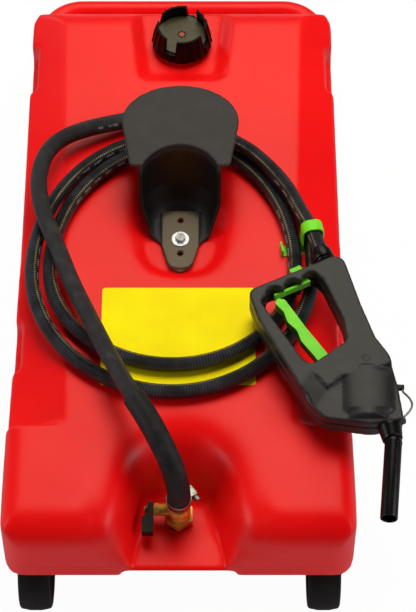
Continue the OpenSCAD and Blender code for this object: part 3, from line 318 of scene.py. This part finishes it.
def rubber_hose(name, ground, tracer, tracers, laylines, ribbed):
    """Rubber with the mark of its cloth wrap, crosswise ribs with painted glints, stitched tracer lines and
    worn dashed laylines.

    Each tracer line is its place round the hose and its half width, in turns. Each layline is its place
    round the hose, in turns, and the length of hose before it starts, in metres.
    """
    made, shader, place = finish(name, {"Specular IOR Level": 0.5})
    chart = place.make("ShaderNodeUVMap", {"uv_map": "turn_and_run"}, {})
    turn, run = (chart.make("ShaderNodeSeparateXYZ", {}, {"Vector": chart}, output) for output in (0, 1))

    def along_hose(at, inner, outer):
        away = turn - at
        return near(away.maths("WRAP", away, 0.5, -0.5), 0, inner, outer)

    threads_round, threads_a_metre = turn * 22, run * 330
    warp = turn.maths("SINE", (threads_round + threads_a_metre) * FULL_TURN)
    weft = turn.maths("SINE", (threads_round - threads_a_metre) * FULL_TURN)
    weave = warp * weft
    rib = turn.maths("SINE", run * 1500 + turn * FULL_TURN)
    stitch = ramp(run.maths("SINE", run * 1700), -0.1, 0.6)
    dash = (turn.maths("FRACT", run * 42) < 0.6) * (turn.maths("FRACT", run * 2.6) < 0.7)
    dusty = noise(place, 60, 3)
    wear_and_glint = ramp(noise(place, 26, 2), 0.36, 0.56)
    speckle = ramp(noise(place, 800, 1), 0.42, 0.58)
    at, width = tracers[0]
    line = along_hose(at, width * 0.5, width)
    for at, width in tracers[1:]:
        line = line.maths("MAXIMUM", line, along_hose(at, width * 0.5, width))
    stitched = line * stitch
    dusted = shade(*[min(255, c + 20) for c in ground])
    hollow = shade(*[c // 2 for c in ground])
    colour = mix(shade(*ground), dusted, ramp(dusty, 0.4, 0.75))
    colour = mix(colour, hollow, ramp(weave * -1, 0.2, 0.9) * 0.7)
    # Painted highlight: pale bluish glints on the crosswise ribs, in patches of the noise that also wears the
    # tracer lines
    colour = mix(colour, shade(112, 120, 142), ramp(rib, 0.3, 0.9) * (0.35 * ribbed) * wear_and_glint)
    colour = mix(colour, shade(*tracer), stitched * (0.25 + 0.75 * wear_and_glint))
    for at, start in laylines:
        colour = mix(colour, shade(150, 150, 152), along_hose(at, 0.02, 0.03) * dash * speckle * (run > start))
    height = weave * 0.6 + rib * (0.7 * ribbed) + stitched * 0.8 + dusty * 0.3
    feed(shader, colour, rough=0.4 - 0.3 * ribbed + 0.2 * dusty, normal=bump(height, 0.8, 0.0007))
    return made


supply_line = route(supply_places)
supply = hose("supply_hose_cover", supply_line, SUPPLY_R / 1000, 24)
supply.data.materials.append(rubber_hose(
    "supply_rubber", ground=(40, 37, 37), tracer=(58, 55, 54), tracers=[(0.3, 0.05)],
    laylines=[(0.05, 0.66), (0.38, 0.66), (0.71, 0.66)], ribbed=0.1))
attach(supply, "caddy")
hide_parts("supply_hose")

# Hose sleeve
# A short length of thick smooth rubber hose over the lower end of the supply hose.
# It stiffens the bend above the valve and is gripped with it by the clamp.
SLEEVE_R = 16.5
SLEEVE_POINTS = 35
SLEEVE_MOUTH = 0.0016
sleeve = hose("hose_sleeve_cover", supply_line[:SLEEVE_POINTS], SLEEVE_R / 1000, 28, SLEEVE_MOUTH)
made, shader, place = finish("sleeve_rubber", {"Specular IOR Level": 0.35})
scuff = noise(place, 45, 4, 0.6)
grain = noise(place, 900, 2)
colour = mix(shade(28, 26, 27), shade(44, 41, 42), ramp(scuff, 0.45, 0.8))
feed(shader, colour, rough=0.46 + 0.2 * scuff, normal=bump(grain + scuff, 0.25, 0.0003))
sleeve.data.materials.append(made)
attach(sleeve, "caddy")
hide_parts("hose_sleeve")

# Hose coupling
# A brass mender with a hexagon in the middle, hidden behind the hook's face plate.
# It joins the thick supply hose to the thinner dispensing hose.
MERGED = 0.000005
SHARP = math.radians(35)


def dress(node, material, edge, segments=2):
    """Give a CAD node its material, and break its sharp edges as on the real piece."""
    piece = nodes[node]
    piece.data.materials.clear()
    piece.data.materials.append(material)
    weld = piece.modifiers.new("weld", "WELD")
    weld.merge_threshold = MERGED
    if edge:
        broken = piece.modifiers.new("edge", "BEVEL")
        broken.width = edge
        broken.segments = segments
        broken.limit_method = "ANGLE"
        broken.angle_limit = SHARP
        broken.profile = 0.5
        broken.harden_normals = False
    return piece


brass, shader, place = finish("brass", {"Metallic": 0.6})
stain = noise(place, 90, 4, 0.6)
turned = noise(place, 1400, 1)
colour = mix(shade(246, 204, 96), shade(206, 152, 62), ramp(stain, 0.42, 0.72))
feed(shader, colour, rough=0.28 + 0.3 * stain, normal=bump(turned, 0.15, 0.0002))
coupling = dress("hose_coupling", brass, 0.0006)
round(reach(supply_line), 4)

# Dispensing hose
# Thinner rubber fuel hose with gold tracer lines. From the coupling it makes two loops round the
# hook, bunched at the top and spread below, and a free tail runs to the pump handle.
COIL_R = 10.5
COIL_X, COIL_Y, COIL_Z = -17.5, 430, 13.5
COIL_START, COIL_TURNS, COIL_STEPS = 0.03, 1.87, 180
COIL_NEAR_END, COIL_END = 1.896, 1.9


def coil_place(turns):
    """A place on the coil, whose loops grow smaller and whose start is lifted to the coupling."""
    across, along = math.sin(2 * math.pi * turns), math.cos(2 * math.pi * turns)
    half_width = 217 - 26 * turns
    half_length = 256 - 23 * turns if along > 0 else 235 - 45 * turns
    lift = max(0, 1 - turns / 0.12) * 6
    return (COIL_X + half_width * across, COIL_Y + half_length * along, COIL_Z + lift)


coil_line = [laid(*coil_place(COIL_START + COIL_TURNS * i / COIL_STEPS)) for i in range(COIL_STEPS + 1)]
coil_end = Vector(coil_place(COIL_END))
coil_way = (coil_end - Vector(coil_place(COIL_NEAR_END))).normalized()
tail_places = [
    coil_end + coil_way * 0.9, coil_end + coil_way * 12.9,
    (-84, 624, 16.5), (-52, 637, 24), (-5, 648, 33), (40, 650, 36.5), (77, 640, 37), (104, 622, 37.5),
    (131, 592, 38), (158, 551, 39.5), (176, 510, 42), (191.5, 474, 45), (197.42, 454.65, 46),
    (202.02, 438.65, 46),
]
dispensing_line = coil_line + route(tail_places)
dispensing = hose("dispensing_hose_cover", dispensing_line, COIL_R / 1000, 20)
dispensing.data.materials.append(rubber_hose(
    "dispensing_rubber", ground=(17, 17, 19), tracer=(176, 154, 92),
    tracers=[(0.03, 0.028), (0.19, 0.026), (0.85, 0.026)], laylines=[(0.94, 0.0)], ribbed=0.6))
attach(dispensing, "caddy")
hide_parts("hose_coil", "hose_tail")
round(reach(dispensing_line), 4)

# Tank
# One blow-moulded shell of red polyethylene with soft edges all over. Handle, axle ears and
# skid feet are moulded in one with it.
UNLAID = LAID.inverted()


def moulded(name, node, voxel, rounds, fills=(), softer=()):
    """A soft-edged copy of a CAD node, as it comes from a mould: one skin, with its sharp edges eased.

    Each fill is the corners of a lump to add. Each softer row is a box, its own rounds of easing, and the
    width over which they fade in from its border.
    """
    bm = bmesh.new()
    bm.from_mesh(nodes[node].data)
    bmesh.ops.remove_doubles(bm, verts=bm.verts, dist=MERGED)
    for corners in fills:
        lump = [bm.verts.new(laid(*corner)) for corner in corners]
        bmesh.ops.convex_hull(bm, input=lump)
    raw = bpy.data.meshes.new(name + "_raw")
    bm.to_mesh(raw)
    bm.free()
    blank = bpy.data.objects.new(name + "_raw", raw)
    scene.collection.objects.link(blank)
    skin = blank.modifiers.new("skin", "REMESH")
    skin.mode = "VOXEL"
    skin.voxel_size = voxel
    ease = blank.modifiers.new("ease", "SMOOTH")
    ease.factor = 0.5
    ease.iterations = rounds
    made = bpy.data.meshes.new_from_object(blank.evaluated_get(bpy.context.evaluated_depsgraph_get()))
    bpy.data.objects.remove(blank)
    # Only the longest of the loose skins stays, which is the outer one
    bm = bmesh.new()
    bm.from_mesh(made)
    bm.verts.ensure_lookup_table()
    left, parts = set(bm.verts), []
    while left:
        start = left.pop()
        part, edge = {start}, [start]
        while edge:
            v = edge.pop()
            for e in v.link_edges:
                w = e.other_vert(v)
                if w in left:
                    left.discard(w)
                    part.add(w)
                    edge.append(w)
        parts.append(part)
    outer = max(parts, key=lambda part: max(v.co.y for v in part) - min(v.co.y for v in part))
    bmesh.ops.delete(bm, geom=[v for v in bm.verts if v not in outer], context="VERTS")
    for low, high, extra, fade in softer:
        zone = [v for v in bm.verts if all(a < c < b for a, c, b in zip(low, UNLAID @ v.co, high))]
        before = [v.co.copy() for v in zone]
        for _ in range(extra):
            bmesh.ops.smooth_vert(bm, verts=zone, factor=0.5, use_axis_x=True, use_axis_y=True, use_axis_z=True)
        for v, was in zip(zone, before):
            depth = min(min(c - a, b - c) for a, c, b in zip(low, UNLAID @ was, high))
            v.co = was.lerp(v.co, min(depth / fade, 1))
    for f in bm.faces:
        f.smooth = True
    bm.to_mesh(made)
    bm.free()
    made.name = name
    made.materials.clear()
    piece = bpy.data.objects.new(name, made)
    scene.collection.objects.link(piece)
    return piece


def disc(x, y, low, high, radius):
    """Corners of a round plug that stands on the tank."""
    turns = [a * math.pi / 12 for a in range(24)]
    return [(x + radius * math.cos(t), y + radius * math.sin(t), z) for t in turns for z in (low, high)]


# Plugs close the skin under the cap and the valve, and lumps fill the recess's upper corners
filler_plug = disc(0, 867, -31, -17, 30)
outlet_plug = disc(0, 76, -105, -97, 14)
recess_corners = [
    [(side * x, y, z) for x, y, z in ((22, 177, -1), (72, 116, -1), (78, 180, -1), (47, 101, -97))]
    for side in (-1, 1)
]
soft_shelf = ((-105, 36, -130), (105, 200, -40), 36, 24)
soft_recess = ((-150, -60, -90), (150, 240, 60), 170, 36)
soft_pocket = ((-115, 400, -16), (115, 665, 40), 22, 8)
tank = moulded("tank_shell", "tank", 0.0042, 5, [filler_plug, outlet_plug, *recess_corners],
               [soft_shelf, soft_recess, soft_pocket])
# The carrying handle widens to its far end
HANDLE_FROM, HANDLE_OVER, HANDLE_WIDER = 948, 26, 0.075
for v in tank.data.vertices:
    x, y, z = UNLAID @ v.co
    out = min(max((y - HANDLE_FROM) / HANDLE_OVER, 0), 1)
    v.co = laid(x * (1 + HANDLE_WIDER * out * out * (3 - 2 * out)), y, z)
ACROSS, ALONG, UP = (way.normalized() for way in LAID.to_3x3().transposed())


def offset(place, origin, way):
    """How far a point of a surface lies from a place on the tank, one way over it, in metres."""
    away = place.make("ShaderNodeVectorMath", {"operation": "SUBTRACT"},
                      {"Vector": place, "Vector_001": laid(*origin)})
    return away.make("ShaderNodeVectorMath", {"operation": "DOT_PRODUCT"},
                     {"Vector": away, "Vector_001": way}, 1)


SEAM = (0, 0, -91)
made, shader, place = finish("red_polyethylene", {"Specular IOR Level": 0.45})
cloud = noise(place, 5, 3)
peel = noise(place, 420, 2)
dust = noise(place, 38, 5, 0.65)
seam = near(offset(place, SEAM, UP) + 0.0012 * noise(place, 9, 2), 0, 0.0006, 0.0016)
colour = mix(shade(228, 6, 10), shade(235, 12, 12), ramp(cloud, 0.35, 0.7))
colour = mix(colour, shade(240, 52, 46), ramp(dust, 0.6, 0.9) * 0.2)
colour = mix(colour, shade(186, 8, 14), seam * 0.35)
feed(shader, colour, rough=0.32 + 0.14 * dust, normal=bump(peel + 0.4 * dust + 2.5 * seam, 0.14, 0.0006))
tank.data.materials.append(made)
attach(tank, "caddy")
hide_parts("tank")

# Label
# A plain yellow vinyl label with rounded corners.
# It is stuck on the flat front panel, under the coil.
LABEL_MIDDLE, LABEL_SIZE, LABEL_CORNER = (-2, 319, 0.35), (221, 165, 0.5), 5
bm = bmesh.new()
bmesh.ops.create_cube(bm, size=1.0, matrix=Matrix.LocRotScale(LABEL_MIDDLE, None, LABEL_SIZE))
posts = [e for e in bm.edges if abs(e.verts[0].co.z - e.verts[1].co.z) > 0.1]
bmesh.ops.bevel(bm, geom=posts, offset=LABEL_CORNER, segments=5, profile=0.5, affect="EDGES", material=-1)
bmesh.ops.transform(bm, matrix=LAID, verts=bm.verts)
bmesh.ops.recalc_face_normals(bm, faces=bm.faces)
vinyl = bpy.data.meshes.new("label")
bm.to_mesh(vinyl)
bm.free()
label = bpy.data.objects.new("label", vinyl)
scene.collection.objects.link(label)
made, shader, place = finish("yellow_vinyl", {"Specular IOR Level": 0.12})
fade = noise(place, 14, 3)
grain = noise(place, 500, 2)
colour = mix(shade(246, 222, 0), shade(252, 232, 4), ramp(fade, 0.35, 0.7))
feed(shader, colour, rough=0.4 + 0.15 * fade, normal=bump(grain, 0.06, 0.0003))
vinyl.materials.append(made)
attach(label, "caddy")

# Filler cap
# A black polyethylene cap with a flared, ribbed skirt and four slots in its crown.
# An olive disc with vent holes lies in its floor, and a gasket under it seals the neck.


def moulding(name, ground, wear_and_glint, rough, gloss=0.3):
    """A moulded plastic or rubber with a fine grain, going from its ground colour to a worn one."""
    made, shader, place = finish(name, {"Specular IOR Level": gloss})
    cloud = noise(place, 30, 4, 0.6)
    grain = noise(place, 900, 2)
    colour = mix(shade(*ground), shade(*wear_and_glint), ramp(cloud, 0.4, 0.8))
    feed(shader, colour, rough=rough + 0.18 * cloud, normal=bump(grain + 0.5 * cloud, 0.3, 0.00025))
    return made


CAP_MIDDLE = (0, 867, 13)
VENTS, VENT_RING = 8, 0.006
dress("filler_cap", moulding("cap_black", (5, 4, 4), (12, 11, 11), 0.22, 0.1), 0.0005)
olive, shader, place = finish("cap_disc_olive", {"Specular IOR Level": 0.45})
cloud = noise(place, 60, 4, 0.6)
across, along = (offset(place, CAP_MIDDLE, way) for way in (ACROSS, ALONG))
from_middle = across.maths("SQRT", across * across + along * along)
spoke = across.maths("FRACT", across.maths("ARCTAN2", along, across) * (VENTS / FULL_TURN) + 0.5)
vents = near(from_middle, VENT_RING, 0.0011, 0.0017) * near(spoke, 0.5, 0.2, 0.28)
colour = mix(shade(66, 59, 41), shade(84, 75, 54), ramp(cloud, 0.4, 0.75))
colour = mix(colour, shade(20, 16, 12), vents)
colour = mix(colour, shade(205, 40, 40), 1 - ramp(from_middle, 0.0028, 0.0034))
feed(shader, colour, rough=0.34 + 0.2 * cloud, normal=bump(noise(place, 700, 2) - 2 * vents, 0.25, 0.0003))
dress("cap_disc", olive, 0.0004)
seal = moulding("seal_rubber", (32, 32, 32), (44, 44, 44), 0.6)
dress("cap_gasket", seal, 0)

# Hose hook
# One moulding of dark grey nylon: a bell-shaped face plate on a flared saddle, with a tongue
# that is held in the tank's pocket by a zinc-plated bolt and a bright washer.
hook = moulded("hook_moulding", "hose_hook", 0.0014, 5)
# The tongue is drawn in below its shoulders and rounded at its tip
TONGUE_TOP = -2
SLIM_BELOW, SLIM_OVER, SLIM_BY = 497, 16, 0.26
SLIM_OUTSIDE, SLIM_ACROSS = 8, 8
TIP_BELOW, TIP_R, TIP_LEAST = 452, 18, 0.06
for v in hook.data.vertices:
    x, y, z = UNLAID @ v.co
    if z < TONGUE_TOP:
        lower = min(max((SLIM_BELOW - y) / SLIM_OVER, 0), 1)
        outer = min(max((abs(x) - SLIM_OUTSIDE) / SLIM_ACROSS, 0), 1)
        tip = max(1 - (max(TIP_BELOW - y, 0) / TIP_R) ** 2, TIP_LEAST)
        v.co = laid(x * (1 - SLIM_BY * (lower * outer)) * math.sqrt(tip), y, z)
SADDLE_MIDDLE = (0, 507, 0)
made, shader, place = finish("hook_nylon", {"Specular IOR Level": 0.45})
across, along, up = (offset(place, SADDLE_MIDDLE, way) for way in (ACROSS, ALONG, UP))
cloud = noise(place, 30, 4, 0.6)
# Painted shade: the saddle under the face plate is painted near black, standing in for the plate's shadow
saddle_painted_shade = (1 - ramp(up, 0.082, 0.094)) * ramp(up, -0.002, 0.012)
# Painted light: the tongue's top is painted a lit olive grey, as where light falls on it
tongue_painted_light = (1 - ramp(up, -0.002, 0.006)) * (1 - ramp(along + across * across * 14, 0.024, 0.036))
tongue_painted_light = tongue_painted_light * near(across, 0, 0.025, 0.0275)
colour = mix(shade(39, 36, 36), shade(50, 47, 47), ramp(cloud, 0.35, 0.8))
colour = mix(colour, shade(10, 8, 8), saddle_painted_shade)
colour = mix(colour, shade(102, 88, 68), tongue_painted_light * 0.9)
feed(shader, colour, rough=0.42 + 0.14 * cloud, normal=bump(noise(place, 700, 2) + 0.5 * cloud, 0.3, 0.0003))
hook.data.materials.append(made)
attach(hook, "caddy")
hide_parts("hose_hook")


def zinc(name, light, dark, rough):
    made, shader, place = finish(name, {"Metallic": 1.0})
    spangle = noise(place, 160, 4, 0.6)
    fine = noise(place, 1500, 1)
    colour = mix(shade(*light), shade(*dark), ramp(spangle, 0.4, 0.75))
    feed(shader, colour, rough=rough + 0.25 * spangle, normal=bump(fine, 0.12, 0.0002))
    return made


steel = zinc("zinc_plate", (196, 196, 198), (128, 128, 130), 0.3)
bright, shader, place = finish("bright_zinc", {"Metallic": 0.45, "Specular IOR Level": 0.6})
turned = noise(place, 240, 3)
colour = mix(shade(240, 240, 240), shade(206, 206, 208), ramp(turned, 0.4, 0.7))
feed(shader, colour, rough=0.18 + 0.2 * turned, normal=bump(turned, 0.2, 0.0002))
dress("hook_washer", bright, 0.0005)
dress("hook_bolt", steel, 0.0006)

# Wheels and axle
# Two moulded black wheels with ribbed discs turn on a plain steel rod through the tank's ears.
# Washers keep them off the ears and push nuts keep them on the rod.
FLASH_AT = 0.207
tyre, shader, place = finish("wheel_black", {"Specular IOR Level": 0.45})
cloud = noise(place, 30, 4, 0.6)
grain = noise(place, 300, 2)
across = offset(place, AXLE, ACROSS)
flash = near(across.maths("ABSOLUTE", across), FLASH_AT, 0.0003, 0.0009)
colour = mix(shade(17, 12, 12), shade(32, 26, 25), ramp(cloud, 0.4, 0.8))
feed(shader, colour, rough=0.5 + 0.2 * cloud, normal=bump(grain + 0.5 * cloud + 2 * flash, 0.3, 0.0005))
for wheel in ("wheel_left", "wheel_right"):
    dress(wheel, tyre, 0.0012)
for fitting in ("axle", "axle_washers", "push_nuts"):
    dress(fitting, steel, 0.0004)

# Ball valve
# A brass ball valve stands on a gasket in the recess. Its hexagon base, body, packing nut and
# hose barb are turned brass, and the bent lever is black-dipped steel under a plated nut.
for part in ("valve_body", "packing_nut", "valve_barb", "valve_stem"):
    dress(part, brass, 0.0004)
dress("outlet_gasket", seal, 0)
dress("valve_ball", steel, 0)
dress("valve_seats", moulding("seat_white", (226, 226, 220), (210, 210, 204), 0.4), 0)
dress("valve_lever", moulding("lever_dip", (18, 18, 14), (32, 31, 26), 0.3), 0.0008)
dress("lever_nut", steel, 0.0004)

# Hose clamp
# A worm-drive clamp of stainless band, slotted all round for its screw.
# It presses the sleeve and the supply hose onto the valve's barb.
BAND_MIDDLE, BAND_SLOTS = (0, 76, -44.18), 46
band, shader, place = finish("band_steel", {"Metallic": 1.0})
across, along, up = (offset(place, BAND_MIDDLE, way) for way in (ACROSS, ALONG, UP))
tooth = up.maths("FRACT", up.maths("ARCTAN2", along, across) * (BAND_SLOTS / FULL_TURN))
slot = near(tooth, 0.5, 0.2, 0.28) * near(up, 0, 0.0026, 0.0032)
stain = noise(place, 160, 4, 0.6)
colour = mix(shade(214, 213, 210), shade(140, 138, 132), ramp(stain, 0.4, 0.75))
colour = mix(colour, shade(26, 24, 22), slot)
feed(shader, colour, rough=0.24 + 0.25 * stain, normal=bump(noise(place, 1500, 1) - 3 * slot, 0.3, 0.0003))
dress("clamp_band", band, 0.0003)
dress("clamp_screw", steel, 0.0003)

# Pump handle
# Two halves of black glass-filled nylon, screwed together round the finger window, with the
# hose's collar at the back, the spout's collar at the nose and a bare wire bail beside it.
BOSS, BOSS_R = (261, 240.6, 66), 0.0048
nylon, shader, place = finish("handle_nylon", {"Specular IOR Level": 0.5})
cloud = noise(place, 30, 4, 0.6)
grain = noise(place, 600, 2)
across, along, up = (offset(place, BOSS, way) for way in (ACROSS, ALONG, UP))
from_boss = up.maths("SQRT", across * across + along * along)
boss = near(from_boss, BOSS_R, 0.0005, 0.0012) * (up > -0.01)
colour = mix(shade(34, 32, 32), shade(49, 48, 48), ramp(cloud, 0.4, 0.8))
feed(shader, colour, rough=0.3 + 0.18 * cloud, normal=bump(grain + 0.5 * cloud - 4 * boss, 0.3, 0.0004))
nose_step = [(x, y, z) for x in (203, 300) for y in (163, 206) for z in (56.5, 59.6)]
nose_wedge = [
    (x, y, z) for x, y, top in ((183, 222, 66), (168.5, 195.5, 66), (190, 163, 60), (206, 194, 60))
    for z in (54, top)
]
BARREL_X, BARREL_Z = 262, 58
nose_barrel = [
    (BARREL_X + wide * math.cos(a * math.pi / 16), y, BARREL_Z + tall * math.sin(a * math.pi / 16))
    for a in range(32) for y, wide, tall in ((154, 30, 6), (160, 36, 10), (220, 36, 10), (226, 30, 6))
]
for half, fills in (("front", [nose_step, nose_wedge, nose_barrel]), ("rear", [])):
    skin = moulded(f"pump_{half}_moulding", f"pump_{half}_shell", 0.0016, 9, fills)
    skin.data.materials.append(nylon)
    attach(skin, "caddy")
    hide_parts(f"pump_{half}_shell")
spout_black = moulding("spout_black", (9, 8, 8), (18, 17, 17), 0.2, 0.45)
dress("inlet_collar", spout_black, 0.0012)
dress("spout_nut", spout_black, 0.0008)
dress("spout", spout_black, 0.0006)
for part in ("flow_tube", "valve_block", "plunger"):
    dress(part, seal, 0)
for part in ("shell_screws", "trigger_pin", "trigger_spring"):
    dress(part, steel, 0)
BAIL_Z, BAIL_WIRE_R = 46, 0.0015
bail_places = [
    (x, y, BAIL_Z) for x, y in ((311, 207), (311, 198), (315.5, 192.5), (320.5, 185.5), (323, 177),
                                (320.5, 168.5), (315.5, 161.5), (311, 156), (311, 147))
]
bail = hose("bail_wire", route(bail_places), BAIL_WIRE_R, 12)
bail.data.materials.append(zinc("bare_wire", (176, 168, 160), (120, 112, 104), 0.3))
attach(bail, "bail")
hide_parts("hang_wire")

# Trigger, latch and hose clip
# Bright green acetal mouldings. The trigger turns on a pin in the handle, the latch slides on the
# guard above it, and the clip snaps round the strands of hose.
green, shader, place = finish("green_acetal", {"Specular IOR Level": 0.5})
cloud = noise(place, 40, 3)
grain = noise(place, 700, 2)
colour = mix(shade(104, 202, 26), shade(120, 214, 36), ramp(cloud, 0.35, 0.7))
feed(shader, colour, rough=0.34 + 0.14 * cloud, normal=bump(grain, 0.12, 0.0003))
dress("trigger", green, 0.0018, 3)
dress("trigger_latch", green, 0.0012, 3)
dress("hose_clip", green, 0.0007)
